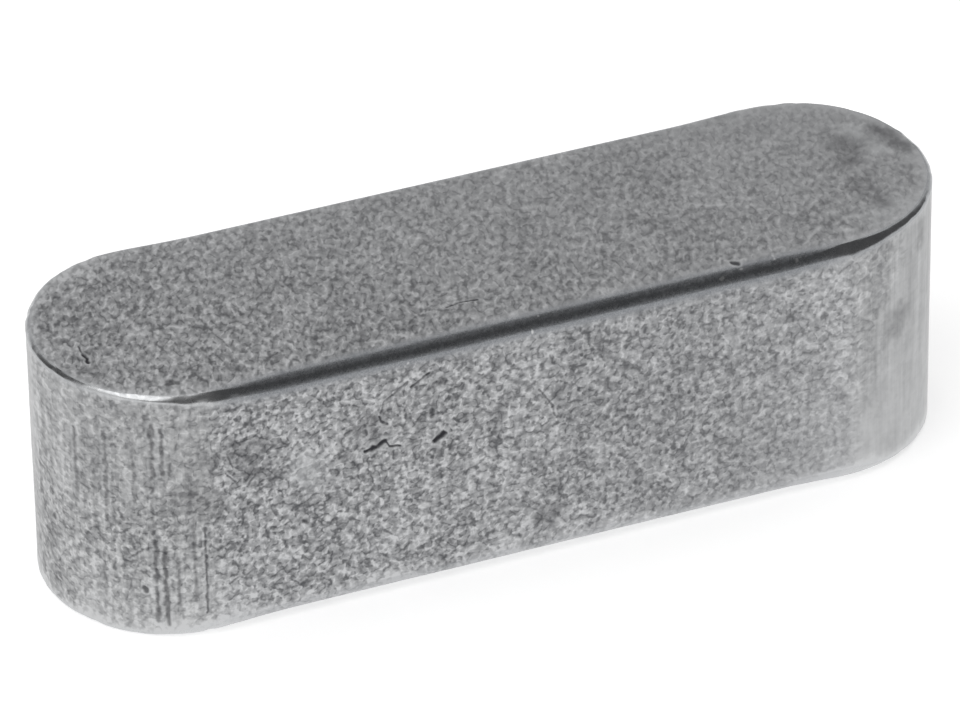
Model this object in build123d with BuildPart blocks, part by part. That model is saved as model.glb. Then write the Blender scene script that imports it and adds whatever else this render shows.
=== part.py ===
"""Parallel key, form A: a length of bright-drawn bar with chamfered long edges and half-round ends.

Frame: +X runs along the key, +Y across it and +Z up. The origin is the centre of the seat, the
lower face, which lies on the floor of the shaft's keyway. All sizes are in millimetres.
"""

from build123d import *
import os

# The drawn bar
key_width = 6.0         # across the flanks, which bear on the walls of the keyways
key_height = 6.0        # from the seat to the back, which clears the hub's keyway
edge_chamfer = 0.21     # leg of the chamfer drawn on each of the four long edges

# The key cut from it
key_length = 20.0       # over the half-round ends
rim_break = 0.07        # leg of the break rubbed on the sharp rims that milling leaves


with BuildPart() as parallel_key:
    # Bar section, across X, standing on the seat, with its four corners chamfered.
    with BuildSketch(Plane.YZ.offset(-key_length / 2)) as bar_section:
        with Locations((0, key_height / 2)):
            Rectangle(key_width, key_height)
        chamfer(bar_section.vertices(), length=edge_chamfer)
    extrude(amount=key_length)

    # Half-round ends, milled with upright walls to the full width of the bar. The cut goes
    # through the long chamfers, so each one runs out along a curve over the round end.
    with BuildSketch(Plane.XY) as end_outline:
        SlotOverall(key_length, key_width)
    extrude(amount=key_height, mode=Mode.INTERSECT)

    # Every curved edge is a rim that the milling left: the arcs round the seat and the back,
    # and the eight run-out curves beside them. The straight edges stay as they were drawn.
    milled_rims = parallel_key.edges().filter_by(GeomType.LINE, reverse=True)
    chamfer(milled_rims, length=rim_break)

parallel_key.part.label = "parallel_key"

os.makedirs("parts", exist_ok=True)
export_step(parallel_key.part, "parts/parallel_key.step")
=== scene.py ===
"""Parallel key, form A: the finished look of a bright-drawn, milled and tumbled steel key.

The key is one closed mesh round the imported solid. Its rings follow the outline of the key, so the
long chamfers, the place where they run out over the half-round ends, the broken rims and the
tumbled surface are all real shape. All sizes are in metres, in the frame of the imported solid: +X
along the key, +Y across it, +Z up, with the origin at the centre of the seat.
"""

import itertools
import math
from typing import NamedTuple

import bmesh
import bpy
import numpy as np
from bpy.props import FloatProperty, FloatVectorProperty, IntProperty, PointerProperty
from mathutils import Matrix, Vector


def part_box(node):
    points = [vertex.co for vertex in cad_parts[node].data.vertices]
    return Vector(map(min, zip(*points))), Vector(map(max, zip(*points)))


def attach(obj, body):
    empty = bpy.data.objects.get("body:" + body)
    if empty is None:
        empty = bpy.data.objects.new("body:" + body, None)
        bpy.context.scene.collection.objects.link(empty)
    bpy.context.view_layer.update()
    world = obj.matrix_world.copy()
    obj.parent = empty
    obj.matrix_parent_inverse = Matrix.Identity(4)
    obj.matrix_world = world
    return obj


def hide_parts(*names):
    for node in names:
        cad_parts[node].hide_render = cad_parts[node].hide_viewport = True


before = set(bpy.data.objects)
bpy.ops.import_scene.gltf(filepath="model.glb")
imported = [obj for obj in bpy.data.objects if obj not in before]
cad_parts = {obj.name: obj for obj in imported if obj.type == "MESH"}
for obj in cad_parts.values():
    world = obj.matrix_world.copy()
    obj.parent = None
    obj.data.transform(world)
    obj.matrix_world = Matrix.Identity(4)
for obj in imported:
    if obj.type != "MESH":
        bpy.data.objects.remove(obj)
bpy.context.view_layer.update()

bl_info = {
    "name": "Parallel Key",
    "version": (1, 0, 0),
    "blender": (4, 5, 0),
    "location": "View3D > Sidebar > Parallel Key",
    "description": "Builds a tumbled steel parallel key and the stage it lies on",
    "category": "Object",
}

NODE = "parallel_key"
SLOT = "bright_steel"
MM = 0.001


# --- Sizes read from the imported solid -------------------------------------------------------


def solid_sizes():
    """Length, width, height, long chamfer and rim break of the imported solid."""
    low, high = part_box(NODE)
    points = np.array([v.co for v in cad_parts[NODE].data.vertices])
    same_height = 0.001 * MM
    back = points[points[:, 2] > high.z - same_height]
    chamfer = high.y - back[:, 1].max()
    rim = high.x - back[:, 0].max()
    return high.x - low.x, high.y - low.y, high.z - low.z, chamfer, rim


LENGTH, WIDTH, HEIGHT, CHAMFER, RIM = solid_sizes()


# --- Settings -------------------------------------------------------------------------------


def metres(name, description, default):
    """A size in metres."""
    return FloatProperty(
        name=name, description=description, default=default, precision=6, min=0.0,
        subtype="DISTANCE", unit="LENGTH",
    )


def share(name, description, default):
    """A share from 0 to 1."""
    return FloatProperty(
        name=name, description=description, default=default, min=0.0, max=1.0, subtype="FACTOR",
    )


def turn(name, description, degrees):
    """An angle."""
    return FloatProperty(
        name=name, description=description, default=math.radians(degrees), subtype="ANGLE",
    )


def colour(name, description, default):
    """A linear colour."""
    return FloatVectorProperty(
        name=name, description=description, default=default, size=3, min=0.0, max=1.0,
        subtype="COLOR",
    )


class KeyShape(bpy.types.PropertyGroup):
    """The key's form and the relief of its surface."""

    length: metres("Length", "Over the half-round ends", LENGTH)
    width: metres("Width", "Across the flanks", WIDTH)
    height: metres("Height", "From the seat to the back", HEIGHT)
    chamfer: metres("Chamfer", "Leg of the chamfer on the long edges", CHAMFER)
    rim: metres("Rim break", "Leg of the break on the milled rims", RIM)
    wear: metres("Rim wear", "How much wider the rims are worn at the ends", 0.045 * MM)
    tumble: metres("Tumbled round", "Round that tumbling gave the drawn edges", 0.085 * MM)
    pitch: metres("Mesh pitch", "Width of the mesh's cells", 0.09 * MM)
    swell: metres("Swell", "Depth of the slow unevenness of the faces", 0.007 * MM)
    peening: metres("Peening", "Depth of the small dents from tumbling", 0.006 * MM)
    milling: metres("Milling lines", "Depth of the lines on the round ends", 0.007 * MM)
    nicks: metres("Nicks", "Depth of the nicks along the rims", 0.02 * MM)
    marks: metres("Marks", "Depth of the dashes, scratches and scores", 0.02 * MM)
    seed: IntProperty(name="Seed", description="Start of the random relief", default=7, min=0)


class KeyFinish(bpy.types.PropertyGroup):
    """Colours and grain of the steel."""

    light: colour("Light steel", "Raised, rubbed metal of the tumbled faces", (0.60, 0.605, 0.615))
    dark: colour("Dark steel", "Hollows of the tumbled grain", (0.11, 0.112, 0.118))
    milled: colour("Milled steel", "Metal of the round ends", (0.62, 0.625, 0.63))
    # The chamfers' skin is smoother metal; its dark colour is partly the skin's own and partly a
    # painted reflection of the dark room they face
    drawn: colour("Drawn skin", "Metal of the long chamfers", (0.232, 0.242, 0.258))
    rubbed: colour("Rubbed steel", "Metal of the worn rims and burrs", (0.58, 0.59, 0.60))
    groove: colour("Groove", "Dirt in the scratches and dents", (0.035, 0.035, 0.04))
    stroke: metres("Stroke", "Width of the strokes in the tumbled grain", 0.12 * MM)
    depth: metres("Grain depth", "Depth of the tumbled grain", 0.008 * MM)
    roughness: share("Roughness", "Of the tumbled faces", 0.42)


class KeyStage(bpy.types.PropertyGroup):
    """The camera, the lamp and the floor."""

    azimuth: turn("Azimuth", "Of the camera, round the key", -21.44)
    elevation: turn("Elevation", "Of the camera, above the floor", 33.66)
    roll: turn("Roll", "Of the camera, clockwise", 0.93)
    distance: metres("Distance", "From the camera to the point it aims at", 169.2 * MM)
    lens: FloatProperty(
        name="Lens", description="Focal length", default=300.4, min=1.0, subtype="DISTANCE_CAMERA",
    )
    aim: FloatVectorProperty(
        name="Aim", description="Point aimed at, from the key's middle", size=3, precision=6,
        default=(-0.07 * MM, 0.17 * MM, 0.0), subtype="TRANSLATION", unit="LENGTH",
    )
    lamp_azimuth: turn("Lamp azimuth", "Of the softbox, round the key", -62.0)
    lamp_elevation: turn("Lamp elevation", "Of the softbox, above the floor", 58.0)
    lamp_distance: metres("Lamp distance", "From the softbox to the key's middle", 0.30)
    lamp_size: metres("Lamp size", "Side of the square softbox", 0.25)
    lamp_power: FloatProperty(
        name="Lamp power", description="Of the softbox", default=0.2, min=0.0, unit="POWER",
    )
    floor: colour("Floor", "Colour of the floor", (0.90, 0.90, 0.90))
    floor_radius: metres("Floor radius", "Of the round floor", 2.0)
    floor_lift: share("Floor lift", "White added to the floor in the camera's view", 0.5)


# --- Shape of the key -----------------------------------------------------------------------


def smoothstep(low, high, value):
    """0 below low, 1 above high and a smooth rise between them."""
    t = np.clip((value - low) / (high - low), 0.0, 1.0)
    return t * t * (3.0 - 2.0 * t)


def soft_max(a, b, width):
    """The greater of a and b, rounded over about that width where they meet."""
    return (a + b + np.sqrt((a - b) ** 2 + width**2)) / 2


def lattice_noise(points, cell, seed):
    """Smooth noise from 0 to 1, with a random value at each corner of a lattice of that cell."""
    span = 48
    table = np.random.default_rng(seed).random((span, span, span))
    place = points / cell
    corner = np.floor(place).astype(int)
    part = place - corner
    part = part * part * (3.0 - 2.0 * part)
    total = np.zeros(len(points))
    for step in itertools.product((0, 1), repeat=3):
        weight = np.prod(np.where(step, part, 1.0 - part), axis=1)
        at = (corner + step) % span
        total += weight * table[at[:, 0], at[:, 1], at[:, 2]]
    return total


class Outline:
    """Columns round the key, from the middle of its -X end along the front to the back.

    Each stands on the key's middle line at x = core and looks outwards along (out_x, out_y).
    milled is 1 on the ends, and rubbed is 1 where the rims are broken and worn.
    """

    def __init__(self, shape):
        self.radius = shape.width / 2
        self.half_straight = (shape.length - shape.width) / 2
        self.along = round(2 * self.half_straight / shape.pitch)
        quarter = round(math.pi / 2 * self.radius / shape.pitch)
        ends = [
            np.linspace(math.pi * (1 + k / 2), math.pi * (1.5 + k / 2), quarter, endpoint=False)
            for k in (0, 1)
        ]
        angle = np.concatenate([ends[0], np.full(self.along, 1.5 * math.pi), ends[1]])
        line = np.linspace(-self.half_straight, self.half_straight, self.along, endpoint=False)
        core = np.concatenate(
            [np.full(quarter, -self.half_straight), line, np.full(quarter, self.half_straight)]
        )
        angle = np.concatenate([angle, angle + math.pi])
        self.core = np.concatenate([core, -core])
        self.out_x, self.out_y = np.cos(angle), np.sin(angle)
        self.count = len(angle)
        # Way from the nearest tangent of an end: above 0 on the end, below 0 on the flank
        turned = np.arcsin(np.minimum(1.0, np.abs(self.out_x)))
        self.past_tangent = turned * self.radius + np.abs(self.core) - self.half_straight
        self.milled = smoothstep(-0.1 * MM, 0.5 * MM, self.past_tangent)
        self.rubbed = smoothstep(-1.0 * MM, 0.3 * MM, self.past_tangent)
        # Point of the middle line that each column starts from
        step = 2 * self.half_straight / self.along
        self.middle = np.rint((self.core + self.half_straight) / step).astype(int)

    def place(self, inset, height):
        """Points at that inset from the outline and that height, one in each column."""
        reach = self.radius - inset
        x, y = self.core + self.out_x * reach, self.out_y * reach
        return np.stack([x, y, height + np.zeros(self.count)], axis=1)


class Ring(NamedTuple):
    """A ring of points round the key, one in each column, and its masks from 0 to 1.

    drawn is 1 on the long chamfer, rim is 1 on a broken rim and edge is 1 beside any edge.
    """

    inset: np.ndarray
    height: np.ndarray
    drawn: np.ndarray
    rim: np.ndarray
    edge: np.ndarray


# How far the masks of a rim and of any edge reach, and the round of the chamfer's inner crease
RIM_FADE = 0.03 * MM
EDGE_FADE = 0.14 * MM
CREASE_ROUND = 0.09 * MM
# Rings over that crease, in CREASE_STRIP from its middle, and over the outer round of the edge
CREASE_STRIP = 0.05 * MM
CREASE_STEPS = (1.3, 0.7, 0.2, -0.4, -1.0)
ROUND_STEPS = (0.0, 0.25, 0.5, 0.75, 1.0)
# Inset of the first ring that follows the crease, and height of the cells at the wall's edges
BORDER = 0.45 * MM
WALL_MARGIN = 0.09 * MM
# How dark the drawn skin beside the seat is, next to that of the back. The skin's darkness is partly
# a painted reflection of the dark room, and the chamfers beside the seat face the pale floor
SEAT_SKIN = 0.3


class UpperSide:
    """The rings from the middle line of the back, over its edge and down to the wall.

    flat is half the width between the chamfers. crease and edge are how far in the chamfer's crease
    and the edge's round begin. shown is 1 where the chamfer shows, painted_dark_rim 1 where the rim
    is painted dark, a painted reflection of dark walls.
    """

    def __init__(self, shape, outline):
        self.height, self.radius = shape.height, outline.radius
        self.across = np.abs(outline.out_y)
        self.rubbed = rubbed = outline.rubbed
        # Tumbling widened the chamfer on the flanks, and wore it narrower where it runs out
        run_out = smoothstep(-1.6 * MM, 0.6 * MM, outline.past_tangent)
        wider, narrower = 0.02, 0.095
        self.flat = outline.radius - shape.chamfer + (narrower * run_out - wider) * MM
        # Rims of the +X end and of the -X tip are painted dark, a painted reflection of dark walls;
        # the break is also worn wider there
        first_tip = smoothstep(0.7, 0.9, -outline.out_x)
        self.painted_dark_rim = np.maximum(0.75 * np.clip(outline.core / MM, 0.0, 1.0), 0.5 * first_tip)
        beside_flank = smoothstep(2.4 * MM, 0.6 * MM, outline.past_tangent)
        worn = 0.3 + 0.9 * self.painted_dark_rim + 0.9 * beside_flank
        self.edge = shape.tumble + (shape.rim + shape.wear * worn - shape.tumble) * rubbed
        # Past 60 degrees round the end the chamfer has run out, so its slope there doesn't matter
        crease = np.maximum(0.0, outline.radius - self.flat / np.maximum(self.across, 0.5))
        shown = smoothstep(0.0, 0.06 * MM, crease - self.edge * rubbed)
        self.shown = shown * (1.0 - 0.4 * rubbed)
        # The crease's rings stay clear of the round's
        self.crease = soft_max(crease, self.edge + 0.07 * MM, 0.02 * MM)
        corner = self.roof(0.0)
        # On the flanks the round reaches further down than inwards, on the ends as far
        foot = corner - self.edge * (1.3 - 0.3 * rubbed)
        self.wall_top = foot - 0.025 * MM
        flat_rings = self.flat_rings(shape.pitch)
        self.middle_height = flat_rings[0].height[0]
        self.rings = flat_rings[1:] + self.round_rings(corner, foot)

    def roof(self, inset):
        """Height of the back and its chamfers at that inset."""
        over = (self.radius - inset) * self.across - self.flat
        return self.height - soft_max(over, 0.0, CREASE_ROUND)

    def flat_rings(self, pitch):
        """Rings from the middle line, over the crease, to the edge's round."""
        insets = list(np.linspace(self.radius, BORDER, round((self.radius - BORDER) / pitch)))
        before = self.crease + 2.0 * CREASE_STRIP
        insets += [BORDER + (before - BORDER) * k / 2 for k in (1, 2)]
        # Number of the second ring over the crease, counted without the middle line
        self.crease_row = len(insets)
        insets += [self.crease + CREASE_STRIP * k for k in CREASE_STEPS]
        after = self.crease - CREASE_STRIP
        insets += [after + (self.edge - after) * k / 3 for k in (1, 2)]
        rings = []
        for inset in insets:
            inset = inset + np.zeros(len(self.across))
            rim = self.rubbed * np.exp(-np.abs(inset - self.edge) / RIM_FADE)
            drawn = self.shown * smoothstep(-0.14 * MM, 0.06 * MM, self.crease - inset)
            # The rims' painted dark reflection joins the chamfer's skin
            drawn = np.maximum(drawn, rim * self.painted_dark_rim)
            beside = np.exp(-np.maximum(0.0, inset - self.crease) / EDGE_FADE)
            rings.append(Ring(inset, self.roof(inset), drawn, rim, beside))
        return rings

    def round_rings(self, corner, foot):
        """Rings over the round from the roof to the wall, a curve drawn towards the corner."""
        zero = 0.0 * self.edge
        top, foot = (self.edge, self.roof(self.edge)), (zero, foot)
        bulge = [c * 0.35 + (a + b) / 2 * 0.65 for c, a, b in zip((zero, corner), top, foot)]
        # The chamfer's skin, with the rims' painted dark reflection
        drawn = np.maximum(self.shown, self.rubbed * self.painted_dark_rim)
        rings = []
        for t in ROUND_STEPS:
            inset, height = (
                (1 - t) ** 2 * a + 2 * t * (1 - t) * b + t * t * c
                for a, b, c in zip(top, bulge, foot)
            )
            rings.append(Ring(inset, height, drawn, self.rubbed, 1.0 + zero))
        return rings


class KeyMesh:
    """Vertices, faces and surface masks of the key before its relief."""

    def __init__(self, shape):
        self.outline = outline = Outline(shape)
        upper = UpperSide(shape, outline)
        wall = self.wall_rings(shape, upper)
        lower = [
            ring._replace(height=shape.height - ring.height, drawn=SEAT_SKIN * ring.drawn)
            for ring in reversed(upper.rings)
        ]
        rows = upper.rings + wall + lower
        self.rows, self.crease_row = len(rows), upper.crease_row
        line = np.linspace(-outline.half_straight, outline.half_straight, outline.along + 1)
        self.start = len(line)
        first, last = (
            np.stack([line, 0 * line, 0 * line + height], axis=1)
            for height in (upper.middle_height, shape.height - upper.middle_height)
        )
        grid = [outline.place(ring.inset, ring.height) for ring in rows]
        self.points = np.concatenate([first, *grid, last])
        self.drawn = self.mask(ring.drawn for ring in rows)
        self.rim = self.mask(ring.rim for ring in rows)
        self.edge = self.mask(ring.edge for ring in rows)
        on_wall = np.zeros((self.rows, outline.count))
        # The outer half of each round belongs to the wall
        outer = (len(ROUND_STEPS) + 1) // 2
        on_wall[len(upper.rings) - outer : len(upper.rings) + len(wall) + outer] = 1.0
        self.milled = self.mask(on_wall * outline.milled)
        self.faces = self.make_faces()

    def wall_rings(self, shape, upper):
        """Rings down the wall, closer together beside its edges."""
        outline, top = self.outline, upper.wall_top
        bottom = shape.height - top
        steps = round((shape.height - 2 * shape.chamfer) / shape.pitch)
        first, last = top - WALL_MARGIN, bottom + WALL_MARGIN
        heights = [first + (last - first) * k / steps for k in range(steps + 1)]
        half = WALL_MARGIN / 2
        rings = []
        for height in (top, top - half, *heights, bottom + half, bottom):
            away = np.maximum(0.0, np.minimum(top - height, height - bottom))
            rim = outline.rubbed * np.exp(-away / RIM_FADE)
            drawn = upper.shown * smoothstep(0.16 * MM, -0.04 * MM, away)
            # The chamfer's skin and the rims' painted dark reflection, on the upper half only
            drawn = np.maximum(drawn, rim * upper.painted_dark_rim) * (height > shape.height / 2)
            rings.append(Ring(0.0 * height, height, drawn, rim, np.exp(-away / EDGE_FADE)))
        return rings

    def mask(self, rows):
        """A mask's values at all vertices, with none on the middle lines."""
        bare = np.zeros(self.start)
        return np.concatenate([bare, *rows, bare])

    def ring(self, row):
        """Vertex numbers of a ring; row -1 and the last one are the middle lines."""
        if row < 0:
            return self.outline.middle
        if row >= self.rows:
            return self.start + self.rows * self.outline.count + self.outline.middle
        return self.start + row * self.outline.count + np.arange(self.outline.count)

    def make_faces(self):
        """Quads between neighbouring rings, and triangles where they meet at an end's centre."""
        faces = []
        for row in range(-1, self.rows):
            upper, lower = self.ring(row), self.ring(row + 1)
            quads = np.stack([upper, lower, np.roll(lower, -1), np.roll(upper, -1)], axis=1)
            for face in quads.tolist():
                faces.append(list(dict.fromkeys(face)))
        return faces


# How much the noise of the milling lines is squeezed in height
UPRIGHT = 0.06


def add_relief(shape, key, normals):
    """Moves the key's points inwards by the swell, dents, milling lines and nicks of its surface.

    Gives how hollow each point is, from 0 to 1.
    """

    def layer(number, cell, places=key.points):
        """The numbered noise, with cells that many millimetres wide."""
        return lattice_noise(places, cell * MM, shape.seed + number)

    swell = 0.65 * layer(0, 1.3) + 0.35 * layer(1, 0.5)
    # Two noises multiplied leave dents that stand apart
    dents = layer(2, 0.17) * layer(3, 0.31)
    # Squeezed in height, the noise becomes upright lines
    upright = key.points * np.array([1.0, 1.0, UPRIGHT])
    lines = layer(4, 0.16, upright)
    deep = layer(5, 0.3, upright) * layer(6, 1.1)
    nicks = smoothstep(0.45, 0.95, layer(7, 0.23)) * key.rim
    # The drawn skin and the broken rims are smoother than the faces
    flat = 1.0 - np.maximum(0.8 * key.drawn, 0.45 * key.rim)
    depth = shape.swell * swell * flat
    depth = depth + shape.peening * 2.0 * dents * flat * (1.0 - 0.5 * key.milled)
    depth = depth + shape.milling * (0.6 * lines + 1.4 * deep) * key.milled * flat
    depth = depth + shape.nicks * nicks
    key.points = key.points - normals * depth[:, None]
    return np.clip(2.2 * dents + nicks, 0.0, 1.0)


# Marks on the key: the points that each runs through, its width in millimetres and its strength.
# One at least SMUDGE wide is a smudge, and one whose strength is below 0 is a lighter, rubbed place.
SMUDGE = 0.2
MARKS = (
    # On the back
    (((-9.1, -0.28, 6.0), (-9.12, -0.6, 6.0)), 0.04, 0.8),
    (((-9.12, -0.6, 6.0), (-9.1, -0.78, 6.0), (-9.12, -0.95, 6.0)), 0.07, 1.0),
    (((-7.9, -2.25, 6.0), (-7.75, -2.32, 6.0)), 0.18, 0.7),
    (((-1.6, -1.9, 6.0), (-1.35, -1.83, 6.0), (-0.9, -1.88, 6.0)), 0.045, 0.7),
    (((4.5, -2.65, 6.0), (4.6, -2.7, 6.0)), 0.09, 0.8),
    (((8.5, 0.7, 6.0), (8.8, 0.6, 6.0)), 0.6, 0.4),
    (((8.2, 0.05, 6.0), (8.4, 0.0, 6.0)), 0.4, 0.45),
    (((8.25, -0.8, 6.0), (8.15, -1.0, 6.0)), 0.5, 0.45),
    (((8.3, -1.6, 6.0), (8.3, -1.8, 6.0)), 0.4, 0.45),
    (((9.4, 1.0, 6.0), (9.6, 0.5, 6.0), (9.7, 0.0, 6.0)), 0.35, 0.55),
    (((8.85, 1.1, 6.0), (8.95, 0.7, 6.0), (9.1, 0.2, 6.0)), 0.4, -1.2),
    (((7.9, -2.2, 6.0), (8.3, -2.1, 6.0), (8.7, -1.85, 6.0)), 0.6, -1.0),
    # Dashes and scratches on the front flank
    (((-3.9, -3.0, 3.68), (-3.74, -3.0, 3.7)), 0.06, 1.0),
    (((-3.74, -3.0, 3.7), (-3.6, -3.0, 3.77), (-3.43, -3.0, 3.83)), 0.11, 1.0),
    (((-3.43, -3.0, 3.83), (-3.35, -3.0, 3.68), (-3.1, -3.0, 3.62)), 0.045, 0.9),
    (((-2.35, -3.0, 3.54), (-2.14, -3.0, 3.68)), 0.1, 1.0),
    (((-2.45, -3.0, 5.25), (-2.85, -3.0, 5.0)), 0.045, 0.7),
    (((-2.9, -3.0, 5.15), (-3.45, -3.0, 4.8), (-3.55, -3.0, 4.45)), 0.05, 0.55),
    (((-3.55, -3.0, 4.45), (-3.5, -3.0, 4.3), (-3.38, -3.0, 4.22)), 0.06, 0.9),
    (((-2.4, -3.0, 4.9), (-2.1, -3.0, 5.0)), 0.14, 0.5),
    (((-2.4, -3.0, 4.3), (-2.4, -3.0, 4.15)), 0.09, 0.6),
    (((0.0, -3.0, 4.2), (0.25, -3.0, 3.8), (0.35, -3.0, 3.45)), 0.045, 0.5),
    (((-6.9, -3.0, 4.4), (-6.8, -3.0, 4.05)), 0.04, 0.6),
    (((-6.95, -3.0, 3.95), (-6.75, -3.0, 3.7)), 0.04, 0.6),
    (((-6.5, -3.0, 3.5), (-6.3, -3.0, 3.75)), 0.05, 0.6),
    (((-6.95, -3.0, 1.2), (-6.75, -3.0, 1.3)), 0.05, 0.6),
    (((-5.25, -3.0, 2.3), (-5.2, -3.0, 2.25)), 0.09, 0.8),
    (((-3.5, -3.0, 1.6), (-3.35, -3.0, 1.45)), 0.05, 0.5),
    # Smudges
    (((-7.35, -3.0, 4.3), (-7.25, -3.0, 4.35)), 0.45, 0.4),
    (((-6.8, -3.0, 4.5), (-6.1, -3.0, 4.4)), 0.45, 0.4),
    (((-6.6, -3.0, 4.1), (-6.2, -3.0, 3.7)), 0.45, 0.35),
    (((-7.7, -3.0, 3.55), (-7.2, -3.0, 3.2)), 0.6, 0.4),
    (((-3.85, -3.0, 4.15), (-3.7, -3.0, 4.2)), 0.6, 0.45),
    (((0.0, -3.0, 1.05), (0.25, -3.0, 1.0)), 0.5, 0.45),
    (((8.3, -2.7, 3.75), (8.33, -2.68, 3.4)), 0.5, 0.4),
    (((-5.2, -3.0, 3.75), (-5.15, -3.0, 3.35)), 0.6, -1.0),
    (((9.05, -2.2, 5.5), (9.05, -2.2, 5.1)), 0.3, 0.3),
    # Scores that the end mill left beside the tangent
    (((-8.42, -2.65, 5.3), (-8.42, -2.65, 4.0)), 0.1, 0.55),
    (((-8.23, -2.74, 5.2), (-8.23, -2.74, 4.1)), 0.08, 0.5),
    (((-8.44, -2.64, 3.9), (-8.44, -2.64, 2.6)), 0.08, 0.3),
    (((-8.42, -2.65, 2.4), (-8.42, -2.65, 0.4)), 0.1, 0.6),
    (((-8.25, -2.73, 2.3), (-8.25, -2.73, 0.35)), 0.11, 0.65),
    (((-8.0, -2.83, 2.0), (-8.0, -2.83, 0.8)), 0.08, 0.45),
    (((-7.66, -2.93, 3.0), (-7.66, -2.93, 0.9)), 0.08, 0.4),
    (((-7.43, -2.97, 2.7), (-7.43, -2.97, 0.6)), 0.06, 0.65),
    (((-9.65, -1.4, 4.8), (-9.65, -1.4, 3.0)), 0.09, 0.35),
    (((-9.22, -2.02, 5.0), (-9.22, -2.02, 2.8)), 0.09, 0.35),
    (((-8.75, -2.44, 4.9), (-8.75, -2.44, 3.4)), 0.09, 0.3),
    (((-9.3, -1.92, 1.9), (-9.3, -1.92, 0.9)), 0.09, 0.35),
    # Small dents on the same end
    (((-8.9, -2.32, 1.95), (-8.65, -2.51, 2.2), (-8.5, -2.6, 2.26)), 0.06, 0.5),
    (((-8.66, -2.5, 1.25), (-8.62, -2.52, 1.15)), 0.07, 0.75),
)


def marks_at(points, seed):
    """How deep in the groove of a mark and how much on its burr each point lies, from 0 to 1.

    The third value is the way from each point to the path of the nearest narrow mark.
    """
    wander = [lattice_noise(points, 0.11 * MM, seed + k) - 0.5 for k in range(3)]
    wander = np.stack(wander, axis=1)
    groove, burr = np.zeros(len(points)), np.zeros(len(points))
    nearest = np.full(len(points), np.inf)
    for path, width, strength in MARKS:
        ragged = points / MM + 0.8 * width * wander
        for start, end in itertools.pairwise(np.array(path)):
            way = end - start
            part = np.clip((ragged - start) @ way / (way @ way), 0.0, 1.0)
            away = np.linalg.norm(ragged - start - part[:, None] * way, axis=1)
            reach = away / width
            if width < SMUDGE:
                # A groove with a burr round it
                middle = 1.0 - smoothstep(0.25, 0.75, reach)
                ring = smoothstep(0.5, 0.9, reach) * (1.0 - smoothstep(0.95, 1.5, reach))
                burr = np.maximum(burr, strength * ring)
                nearest = np.minimum(nearest, away * MM)
            else:
                # A smudge that fades out over its whole width
                middle = 1.0 - smoothstep(0.0, 1.0, reach)
            groove = np.maximum(groove, strength * middle)
            burr = np.maximum(burr, -strength * middle)
    return groove, burr, nearest


def vertex_places(mesh):
    """Places and normals of a mesh's vertices."""
    values = []
    for data, field in ((mesh.vertices, "co"), (mesh.vertex_normals, "vector")):
        flat = np.empty(3 * len(mesh.vertices), dtype=np.float32)
        data.foreach_get(field, flat)
        values.append(flat.reshape(-1, 3).astype(float))
    return values


def carve_marks(mesh, shape):
    """Divides the mesh finely along the marks, in two rounds, and sinks them into it."""
    # Clear of the seeds that the relief uses
    seed = shape.seed + 20
    body = bmesh.new()
    body.from_mesh(mesh)
    for reach in (0.2 * MM, 0.11 * MM):
        points = np.array([v.co for v in body.verts])
        near = marks_at(points, seed)[2] < reach
        edges = [e for e in body.edges if near[e.verts[0].index] or near[e.verts[1].index]]
        bmesh.ops.subdivide_edges(body, edges=edges, cuts=1, use_grid_fill=True)
        body.verts.index_update()
    body.to_mesh(mesh)
    body.free()
    points, normals = vertex_places(mesh)
    groove, burr, _ = marks_at(points, seed)
    sunk = points - normals * (shape.marks * groove)[:, None]
    mesh.vertices.foreach_set("co", sunk.astype(np.float32).ravel())
    add_masks(mesh, groove=groove, burr=burr)


def add_masks(mesh, **masks):
    """Stores values from 0 to 1 at the mesh's vertices for its finish."""
    for name, values in masks.items():
        layer = mesh.attributes.new(name, "FLOAT", "POINT")
        layer.data.foreach_set("value", values.astype(np.float32))


def add_bake_map(mesh, key, shape):
    """Lays the back, the seat and the two halves of the wall flat, side by side, for baking."""
    outline = key.outline
    half = outline.count // 2
    run = np.arange(outline.count) % half
    quarter = (half - outline.along) // 2
    arc = math.pi / 2 * outline.radius
    along = np.interp(
        np.arange(half + 1),
        [0, quarter, quarter + outline.along, half],
        [0, arc, arc + 2 * outline.half_straight, 2 * arc + 2 * outline.half_straight],
    )
    grid = key.points[key.start : key.start + key.rows * outline.count]
    grid = grid.reshape(key.rows, outline.count, 3)
    step = np.linalg.norm(np.diff(grid, axis=0), axis=2).mean(axis=1)
    down = np.concatenate([[0.0], np.cumsum(step)])
    # Room between the parts of the map
    gap = 0.18 * MM
    first_row, last_row = key.crease_row, key.rows - 1 - key.crease_row
    strip = down[last_row] - down[first_row]
    tall = 2 * (strip + shape.width) + 5 * gap

    def place_on_wall(row, column, side):
        """A corner of the wall: the front half in the first strip, the rear half in the second."""
        u = along[run[column] + side] + gap
        return u, gap + (strip + gap) * (column >= half) + down[last_row] - down[row]

    def place_on_face(row, point):
        """A corner of the back, or of the seat above it."""
        v = 2 * strip + 3 * gap + shape.width / 2
        v += point[1] if row < first_row else shape.width + gap - point[1]
        return point[0] + shape.length / 2 + gap, v

    at = []
    for row in range(-1, key.rows):
        rings = key.ring(row), key.ring(row + 1)
        for column in range(outline.count):
            corners = ((0, 0), (1, 0), (1, 1), (0, 1))
            if first_row <= row < last_row:
                at += [place_on_wall(row + below, column, side) for below, side in corners]
                continue
            # Corners that meet at an end's centre are one corner of the face
            vertices = [rings[below][(column + side) % outline.count] for below, side in corners]
            at += [place_on_face(row, key.points[vertex]) for vertex in dict.fromkeys(vertices)]
    layer = mesh.uv_layers.new(name="OFBake")
    layer.data.foreach_set("uv", (np.array(at) / tall).astype(np.float32).ravel())


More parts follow.
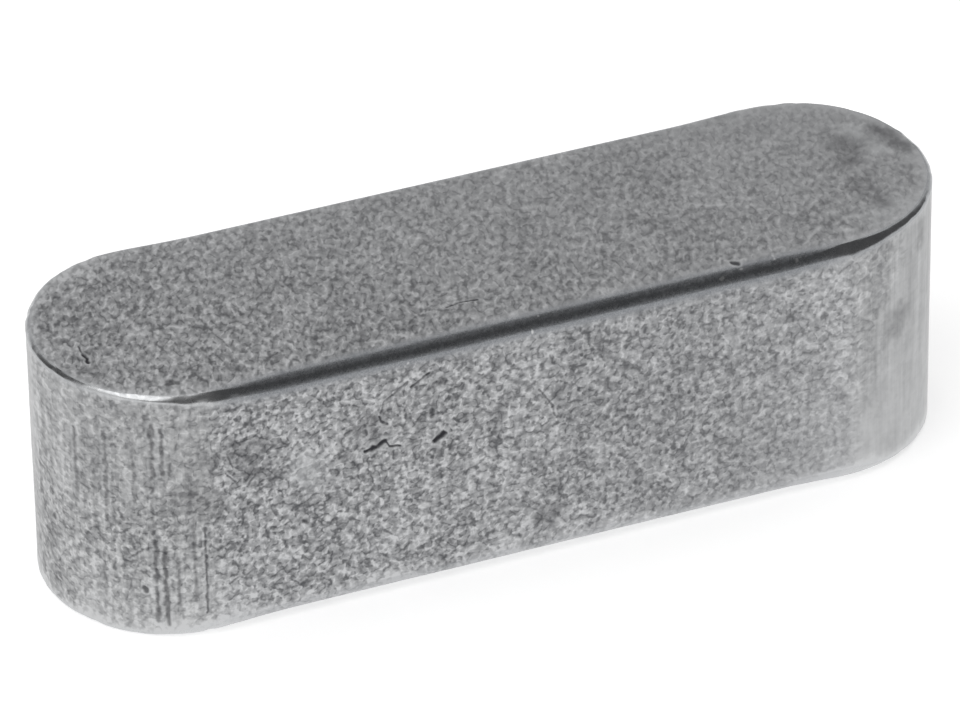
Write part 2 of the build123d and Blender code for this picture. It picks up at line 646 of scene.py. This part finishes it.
def make_key(shape, finish):
    """The key as one closed mesh, with its relief and masks."""
    key = KeyMesh(shape)
    mesh = bpy.data.meshes.new("key_body")
    mesh.from_pydata(key.points.tolist(), [], key.faces)
    hollow = add_relief(shape, key, vertex_places(mesh)[1])
    mesh.vertices.foreach_set("co", key.points.astype(np.float32).ravel())
    add_masks(
        mesh, milled=key.milled, drawn=key.drawn, rim=key.rim, edge=key.edge, hollow=hollow
    )
    add_bake_map(mesh, key, shape)
    mesh.update()
    carve_marks(mesh, shape)
    mesh.shade_smooth()
    mesh.materials.append(bright_steel(finish))
    body = bpy.data.objects.new("key_body", mesh)
    bpy.context.scene.collection.objects.link(body)
    return body


# --- Finishes -------------------------------------------------------------------------------


def add_node(tree, kind, inputs=None, **settings):
    """A node with those settings, its inputs set to values or linked to sockets."""
    node = tree.nodes.new(kind)
    for name, value in settings.items():
        setattr(node, name, value)
    for name, value in (inputs or {}).items():
        if isinstance(value, bpy.types.NodeSocket):
            tree.links.new(value, node.inputs[name])
        else:
            node.inputs[name].default_value = value
    return node


def maths(tree, operation, *values, clamp=False):
    """The result of one Math node."""
    inputs = dict(enumerate(values))
    return add_node(tree, "ShaderNodeMath", inputs, operation=operation, use_clamp=clamp).outputs[0]


def rise(tree, value, low, high, first=0.0, last=1.0):
    """A value mapped smoothly from low..high to first..last."""
    inputs = {"Value": value, "From Min": low, "From Max": high, "To Min": first, "To Max": last}
    return add_node(tree, "ShaderNodeMapRange", inputs, interpolation_type="SMOOTHSTEP").outputs[0]


def zone(tree, *borders):
    """1 inside all the soft borders, each a value with the places where it starts and is full."""
    inside = rise(tree, *borders[0])
    for border in borders[1:]:
        inside = maths(tree, "MULTIPLY", inside, rise(tree, *border))
    return inside


def plus(tree, base, part, amount):
    """base with that amount of a part added."""
    return maths(tree, "MULTIPLY_ADD", part, amount, base)


def weaken(tree, value, mask, amount):
    """value, less that share of it where the mask is 1."""
    return maths(tree, "MULTIPLY", value, plus(tree, 1.0, mask, -amount))


def invert(tree, mask):
    """1 where the mask is 0."""
    return maths(tree, "SUBTRACT", 1.0, mask)


def centre(tree, value):
    """A value from 0 to 1 moved to lie round 0."""
    return maths(tree, "SUBTRACT", value, 0.5)


def blend(tree, part, first, second):
    """first and second colours, mixed by that part of the second."""
    node = add_node(tree, "ShaderNodeMix", data_type="RGBA")
    for index, value in ((0, part), (6, first), (7, second)):
        if isinstance(value, bpy.types.NodeSocket):
            tree.links.new(value, node.inputs[index])
        else:
            node.inputs[index].default_value = (*value, 1.0)
    return node.outputs[2]


def noise(tree, place, scale, detail=2.0, roughness=0.5, distortion=0.0):
    """A noise texture's value."""
    inputs = {
        "Vector": place, "Scale": scale, "Detail": detail, "Roughness": roughness,
        "Distortion": distortion,
    }
    return add_node(tree, "ShaderNodeTexNoise", inputs).outputs["Fac"]


def new_group(name, inputs, outputs):
    """A shader node group with its sockets, and the nodes that hold them."""
    tree = bpy.data.node_groups.new(name, "ShaderNodeTree")
    for label, kind, default in inputs:
        socket = tree.interface.new_socket(label, in_out="INPUT", socket_type=kind)
        if default is not None:
            socket.default_value = default
    for label, kind in outputs:
        tree.interface.new_socket(label, in_out="OUTPUT", socket_type=kind)
    return tree, tree.nodes.new("NodeGroupInput").outputs, tree.nodes.new("NodeGroupOutput").inputs


def add_group(tree, group, **inputs):
    """A node group placed with its own inputs; its outputs."""
    return add_node(tree, "ShaderNodeGroup", inputs, node_tree=group).outputs


def vector(tree, operation, *values):
    """The vector result of one Vector Math node."""
    inputs = dict(enumerate(values))
    return add_node(tree, "ShaderNodeVectorMath", inputs, operation=operation).outputs[0]


def tumbled_grain():
    """The matt grain that tumbling leaves: short curled dark and light strokes on soft patches."""
    name = "tumbled_grain"
    if name in bpy.data.node_groups:
        return bpy.data.node_groups[name]
    tree, given, result = new_group(
        name,
        [("Place", "NodeSocketVector", None), ("Stroke", "NodeSocketFloat", 0.1)],
        [("Tone", "NodeSocketFloat"), ("Height", "NodeSocketFloat")],
    )
    place = given["Place"]
    fine = maths(tree, "DIVIDE", 1.0, given["Stroke"])
    strokes = noise(tree, place, fine, detail=1.5)
    lumps = noise(tree, place, maths(tree, "MULTIPLY", fine, 0.4))
    patches = maths(tree, "MULTIPLY", fine, 0.09)
    patches = noise(tree, place, patches, roughness=0.55, distortion=0.3)
    tone = plus(tree, 0.5, centre(tree, strokes), 1.25)
    tone = plus(tree, tone, centre(tree, lumps), 0.7)
    tone = plus(tree, tone, centre(tree, patches), 0.4)
    # Dark curls, then light ones: shift of the noise, width, tone, and the strokes that they keep to
    for shift, width, amount, low, high in (
        (0.0, 0.09, -0.3, 0.62, 0.45), (31.0, 0.08, 0.23, 0.4, 0.56)
    ):
        moved = vector(tree, "ADD", place, (shift, shift, shift))
        curls = maths(tree, "MULTIPLY", fine, 0.62)
        curls = noise(tree, moved, curls, detail=0.6, distortion=0.2)
        curls = maths(tree, "ABSOLUTE", centre(tree, curls))
        curls = rise(tree, curls, 0.0, width, 1.0, 0.0)
        curls = maths(tree, "MULTIPLY", curls, rise(tree, strokes, low, high))
        tone = plus(tree, tone, curls, amount)
    tree.links.new(tone, result["Tone"])
    tree.links.new(plus(tree, strokes, lumps, 1.2), result["Height"])
    return tree


MASKS = ("milled", "drawn", "rim", "edge", "hollow", "groove", "burr")
# The grain's strokes are turned by this angle and longer by this factor that way
GRAIN_LAY = math.radians(-21.0)
GRAIN_STRETCH = 1.8
# Noises per millimetre
FINE, LINES, SPECKS, DRIFT = 24.0, 6.0, 4.0, 1.1
# Tone of plain steel, and how strongly the tones gather at the dark end
PLAIN_TONE = 0.66
TONE_POWER = 1.5


class SteelNodes:
    """The tree of the steel, with the key's masks and the textures that its parts share.

    Places are in millimetres. x, y and z in a zone are the key's own directions.
    """

    def __init__(self, tree, finish):
        self.tree, self.finish = tree, finish
        coordinates = add_node(tree, "ShaderNodeTexCoord").outputs["Object"]
        scaled = {0: coordinates, "Scale": 1.0 / MM}
        place = add_node(tree, "ShaderNodeVectorMath", scaled, operation="SCALE").outputs[0]
        self.mask = {
            name: add_node(tree, "ShaderNodeAttribute", attribute_name=name).outputs["Fac"]
            for name in MASKS
        }
        lay = {
            "Vector": place, "Rotation": (0.0, 0.0, GRAIN_LAY), "Scale": (1.0, GRAIN_STRETCH, 1.0)
        }
        lay = add_node(tree, "ShaderNodeMapping", lay, vector_type="TEXTURE").outputs[0]
        self.grain = add_group(tree, tumbled_grain(), Place=lay, Stroke=finish.stroke / MM)
        self.fine = noise(tree, place, FINE, roughness=0.6)
        stretched = vector(tree, "MULTIPLY", place, (1.0, 1.0, UPRIGHT))
        self.lines = noise(tree, stretched, LINES, detail=3.0, roughness=0.6)
        self.specks = rise(tree, noise(tree, place, SPECKS, detail=1.0), 0.72, 0.78)
        self.drift = centre(tree, noise(tree, place, DRIFT, detail=3.0, roughness=0.6))
        self.xyz = add_node(tree, "ShaderNodeSeparateXYZ", {0: place}).outputs
        self.find_zones()

    def find_zones(self):
        """Zones that differ in how light they are and in how strongly their grain shows."""
        tree, drift, milled = self.tree, self.drift, self.mask["milled"]
        x, y, z = self.xyz
        # Lighter and smoother towards the seat: a painted reflection of the white floor
        self.foot = rise(tree, plus(tree, z, drift, 0.9), 0.0, 0.55, 1.0, 0.0)
        # Painted highlight: the outermost strip of each round end is lighter, for the bright stripe
        # it reflects at the outline; its grain is calmer too
        self.tip = maths(
            tree, "MULTIPLY", milled, rise(tree, maths(tree, "ABSOLUTE", x), 9.2, 9.9)
        )
        rear = zone(tree, (plus(tree, y, drift, 1.2), -0.25, 0.4), (x, -9.4, -8.6, 1.0, 0.0))
        right = rise(tree, plus(tree, plus(tree, x, drift, 1.6), z, -0.25), 6.2, 7.5)
        self.clean = maths(tree, "MULTIPLY", milled, maths(tree, "MAXIMUM", right, rear))
        self.upper = maths(tree, "MULTIPLY", milled, zone(tree, (z, 2.0, 4.5), (x, 4.0, 0.0)))
        self.scuffed = zone(tree, (z, 2.6, 0.3), (x, -4.5, -8.0), (y, -0.6, -1.8))
        self.smooth = zone(tree, (x, 3.0, 7.5), (z, 4.2, 0.5))

    def calm(self):
        """How strongly the grain shows: less on edges, on milled metal and away from the front."""
        tree = self.tree
        x, y, z = self.xyz
        worked = maths(tree, "MAXIMUM", self.mask["edge"], self.mask["milled"])
        back = rise(tree, z, 5.85, 5.97)
        away = plus(tree, x, y, 1.2)
        calm = 1.0
        for part, amount in (
            (worked, -0.2),
            (self.upper, -0.25),
            (self.clean, -0.35),
            (self.tip, -0.1),
            (back, -0.12),
            (rise(tree, away, -12.0, 6.0), -0.42),
            (rise(tree, away, 5.0, 11.0), -0.2),
        ):
            calm = plus(tree, calm, part, amount)
        # The grain is calmer at the foot, under its painted floor reflection
        for part, amount in ((self.foot, 0.5), (self.scuffed, 0.3), (self.smooth, 0.5)):
            calm = weaken(tree, calm, part, amount)
        return calm

    def tone(self):
        """How light the tumbled and milled metal is, from 0 to 1."""
        tree = self.tree
        x, y, z = self.xyz
        calm = self.calm()
        tone = maths(tree, "MULTIPLY", centre(tree, self.grain["Tone"]), calm)
        speckle = maths(tree, "MULTIPLY", centre(tree, self.fine), calm)
        streaks = maths(tree, "MULTIPLY", centre(tree, self.lines), self.mask["milled"])
        streaks = weaken(tree, streaks, self.smooth, 0.5)
        streaks_amount = plus(tree, 0.6, self.clean, -0.1)
        scuffed = maths(tree, "MULTIPLY", self.scuffed, invert(tree, self.foot))
        lower_tip = zone(tree, (x, -9.2, -9.9), (z, 4.0, 2.0))
        flank_end = zone(tree, (x, 5.5, 6.8), (x, 8.0, 6.8), (z, 5.95, 5.5))
        flank_middle = zone(tree, (x, 0.0, 1.5), (x, 5.5, 4.0), (z, 5.9, 5.5))
        rear_left = zone(tree, (plus(tree, y, x, -0.25), 3.4, 4.6), (z, 5.8, 5.95))
        for part, amount in (
            (speckle, 0.4),
            (streaks, streaks_amount),
            (self.clean, 0.15),
            # Painted highlight on the outermost strip of the round ends
            (self.tip, 0.12),
            # Painted reflection of the white floor, lighter towards the seat
            (self.foot, 0.4),
            (scuffed, 0.17),
            (self.smooth, 0.05),
            (lower_tip, -0.1),
            (flank_end, 0.1),
            (flank_middle, -0.04),
            (rear_left, 0.1),
            # Lighter beside every edge, more so on the back: edges worn bright, and along the seat
            # also a painted reflection of the floor
            (self.mask["edge"], rise(tree, z, 5.7, 5.9, 0.08, 0.17)),
            (self.mask["hollow"], -0.08),
        ):
            tone = plus(tree, tone, part, amount)
        tone = maths(tree, "ADD", tone, PLAIN_TONE, clamp=True)
        return maths(tree, "POWER", tone, TONE_POWER)

    def colour(self):
        """The steel's colour: grain, then drawn skin, rubbed rims, burrs and grooves over it."""
        tree, finish, mask = self.tree, self.finish, self.mask
        light = blend(tree, mask["milled"], finish.light, finish.milled)
        steel = blend(tree, self.tone(), finish.dark, light)
        skin = plus(tree, 0.1, centre(tree, self.fine), 0.9)
        skin = maths(tree, "MAXIMUM", skin, self.specks, clamp=True)
        skin = blend(tree, skin, finish.drawn, finish.light)
        # The chamfers' dark skin, partly a painted reflection of the dark room
        steel = blend(tree, mask["drawn"], steel, skin)
        bare = maths(tree, "MULTIPLY", mask["rim"], invert(tree, mask["drawn"]), clamp=True)
        steel = blend(tree, maths(tree, "MULTIPLY", bare, 0.6), steel, finish.rubbed)
        steel = blend(tree, maths(tree, "MULTIPLY", mask["burr"], 0.45), steel, finish.rubbed)
        return blend(tree, mask["groove"], steel, finish.groove)

    def bump(self):
        """The normal of the fine grain and streaks."""
        tree, mask = self.tree, self.mask
        height = maths(tree, "MULTIPLY", self.grain["Height"], invert(tree, mask["drawn"]))
        height = plus(tree, height, maths(tree, "MULTIPLY", self.lines, mask["milled"]), 0.8)
        height = plus(tree, height, self.fine, 0.2)
        height = weaken(tree, height, mask["rim"], 0.6)
        inputs = {"Height": height, "Distance": self.finish.depth, "Strength": 1.0}
        return add_node(tree, "ShaderNodeBump", inputs).outputs[0]

    def roughness(self):
        """Roughness, less on drawn skin, light grain and rubbed rims."""
        tree = self.tree
        rough = plus(tree, self.finish.roughness, self.mask["drawn"], -0.15)
        rough = plus(tree, rough, centre(tree, self.grain["Tone"]), -0.1)
        return plus(tree, rough, self.mask["rim"], -0.12)


def bright_steel(finish):
    """Drawn steel, tumbled to a matt grain, with milled ends and smoother drawn chamfers."""
    material = bpy.data.materials.new(SLOT)
    material.use_nodes = True
    tree = material.node_tree
    tree.nodes.clear()
    steel = SteelNodes(tree, finish)
    inputs = {
        "Base Color": steel.colour(), "Metallic": 1.0, "Roughness": steel.roughness(),
        "Normal": steel.bump(),
    }
    shader = add_node(tree, "ShaderNodeBsdfPrincipled", inputs)
    add_node(tree, "ShaderNodeOutputMaterial", {"Surface": shader.outputs[0]})
    return material


def pale_floor(stage):
    """A plain pale floor that keeps the key's shadow, and that the steel sees evenly white."""
    material = bpy.data.materials.new("pale_floor")
    material.use_nodes = True
    tree = material.node_tree
    tree.nodes.clear()
    path = add_node(tree, "ShaderNodeLightPath").outputs
    diffuse = add_node(tree, "ShaderNodeBsdfDiffuse", {"Color": (*stage.floor, 1.0)}).outputs[0]
    lift = maths(tree, "MULTIPLY", path["Is Camera Ray"], stage.floor_lift)
    lift = add_node(tree, "ShaderNodeEmission", {"Strength": lift}).outputs[0]
    lit = add_node(tree, "ShaderNodeAddShader", {0: diffuse, 1: lift}).outputs[0]
    white = add_node(tree, "ShaderNodeEmission", {"Strength": 1.0}).outputs[0]
    seen = maths(tree, "ADD", path["Is Glossy Ray"], path["Is Transmission Ray"], clamp=True)
    mix = add_node(tree, "ShaderNodeMixShader", {0: seen, 1: lit, 2: white})
    add_node(tree, "ShaderNodeOutputMaterial", {"Surface": mix.outputs[0]})
    return material


# --- Stage ----------------------------------------------------------------------------------


def direction(azimuth, elevation):
    """The way from the key to a place round it: azimuth 0 is in front, 90 to the right."""
    level = math.cos(elevation)
    return Vector((math.sin(azimuth) * level, -math.cos(azimuth) * level, math.sin(elevation)))


def add_floor(stage):
    """A wide round floor at the height of the seat."""
    mesh = bpy.data.meshes.new("floor")
    sides = 64
    rim = []
    for k in range(sides):
        turned = 2 * math.pi * k / sides
        rim.append(Vector((math.cos(turned), math.sin(turned), 0.0)) * stage.floor_radius)
    mesh.from_pydata(rim, [], [list(range(sides))])
    mesh.materials.append(pale_floor(stage))
    floor = bpy.data.objects.new("floor", mesh)
    bpy.context.scene.collection.objects.link(floor)


def add_softbox(stage, middle):
    """A square soft lamp that looks at the key."""
    lamp = bpy.data.lights.new("softbox", "AREA")
    lamp.shape = "SQUARE"
    lamp.size = stage.lamp_size
    lamp.energy = stage.lamp_power
    holder = bpy.data.objects.new("softbox", lamp)
    back = direction(stage.lamp_azimuth, stage.lamp_elevation)
    holder.location = middle + back * stage.lamp_distance
    holder.rotation_euler = back.to_track_quat("Z", "Y").to_euler()
    bpy.context.scene.collection.objects.link(holder)


# How light the pale room is
ROOM_LEVEL = 0.85
# Where the pale room is darker: azimuth, elevation, inner and outer radius, in degrees, and level
DARK_WALLS = (
    (30, 36, 28, 38, 0.135),
    (85, 24, 22, 32, 0.15),
    (-12, 18, 18, 28, 0.1),
    (-130, 30, 20, 30, 0.1),
    (160, 30, 25, 60, 0.72),
)


def add_world():
    """A pale room with darker walls, which give the steel its contrast; the camera sees it white."""
    world = bpy.data.worlds.new("pale_room")
    world.use_nodes = True
    tree = world.node_tree
    tree.nodes.clear()
    way = add_node(tree, "ShaderNodeTexCoord").outputs["Generated"]
    light = (ROOM_LEVEL, ROOM_LEVEL, ROOM_LEVEL)
    for azimuth, elevation, inner, outer, level in DARK_WALLS:
        wall = direction(math.radians(azimuth), math.radians(elevation))
        inputs = {0: way, 1: tuple(wall)}
        near = add_node(tree, "ShaderNodeVectorMath", inputs, operation="DOT_PRODUCT")
        near = near.outputs["Value"]
        edges = math.cos(math.radians(outer)), math.cos(math.radians(inner))
        light = blend(tree, rise(tree, near, *edges), light, (level, level, level))
    room = add_node(tree, "ShaderNodeBackground", {"Color": light, "Strength": 1.0}).outputs[0]
    white = {"Color": (1.0, 1.0, 1.0, 1.0), "Strength": 1.0}
    white = add_node(tree, "ShaderNodeBackground", white).outputs[0]
    camera = add_node(tree, "ShaderNodeLightPath").outputs["Is Camera Ray"]
    mix = add_node(tree, "ShaderNodeMixShader", {0: camera, 1: room, 2: white})
    add_node(tree, "ShaderNodeOutputWorld", {"Surface": mix.outputs[0]})
    bpy.context.scene.world = world


def add_camera(stage, middle):
    """The camera, with a long lens, looking down at the key."""
    camera = bpy.data.cameras.new("camera")
    camera.sensor_width = 36.0
    camera.lens = stage.lens
    camera.clip_start = 0.01
    camera.clip_end = 10.0
    holder = bpy.data.objects.new("camera", camera)
    back = direction(stage.azimuth, stage.elevation)
    facing = back.to_track_quat("Z", "Y").to_matrix() @ Matrix.Rotation(-stage.roll, 3, "Z")
    place = middle + Vector(stage.aim) + back * stage.distance
    holder.matrix_world = Matrix.Translation(place) @ facing.to_4x4()
    bpy.context.scene.collection.objects.link(holder)
    bpy.context.scene.camera = holder


# --- Add-on ---------------------------------------------------------------------------------


class KEY_OT_add_body(bpy.types.Operator):
    """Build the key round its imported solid"""

    bl_idname = "parallel_key.add_body"
    bl_label = "Add Key"

    def execute(self, context):
        body = make_key(context.scene.key_shape, context.scene.key_finish)
        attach(body, "root")
        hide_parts(NODE)
        return {"FINISHED"}


class KEY_OT_add_stage(bpy.types.Operator):
    """Lay the floor and set up the light and the camera"""

    bl_idname = "parallel_key.add_stage"
    bl_label = "Add Stage"

    def execute(self, context):
        stage = context.scene.key_stage
        low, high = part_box(NODE)
        middle = (low + high) / 2
        add_floor(stage)
        add_world()
        add_softbox(stage, middle)
        add_camera(stage, middle)
        context.scene.view_settings.view_transform = "Standard"
        return {"FINISHED"}


class KEY_PT_panel(bpy.types.Panel):
    """The key's settings in the sidebar"""

    bl_label = "Parallel Key"
    bl_space_type = "VIEW_3D"
    bl_region_type = "UI"
    bl_category = "Parallel Key"

    def draw(self, context):
        for name, operator in (
            ("key_shape", KEY_OT_add_body),
            ("key_finish", None),
            ("key_stage", KEY_OT_add_stage),
        ):
            settings = getattr(context.scene, name)
            box = self.layout.box()
            for setting in settings.__annotations__:
                box.prop(settings, setting)
            if operator:
                box.operator(operator.bl_idname)


CLASSES = (KeyShape, KeyFinish, KeyStage, KEY_OT_add_body, KEY_OT_add_stage, KEY_PT_panel)


def register():
    for cls in CLASSES:
        bpy.utils.register_class(cls)
    bpy.types.Scene.key_shape = PointerProperty(type=KeyShape)
    bpy.types.Scene.key_finish = PointerProperty(type=KeyFinish)
    bpy.types.Scene.key_stage = PointerProperty(type=KeyStage)


def unregister():
    for name in ("key_stage", "key_finish", "key_shape"):
        delattr(bpy.types.Scene, name)
    for cls in reversed(CLASSES):
        bpy.utils.unregister_class(cls)


def main():
    """Builds the key and its stage."""
    register()
    bpy.ops.parallel_key.add_body()
    bpy.ops.parallel_key.add_stage()


if __name__ == "__main__":
    main()
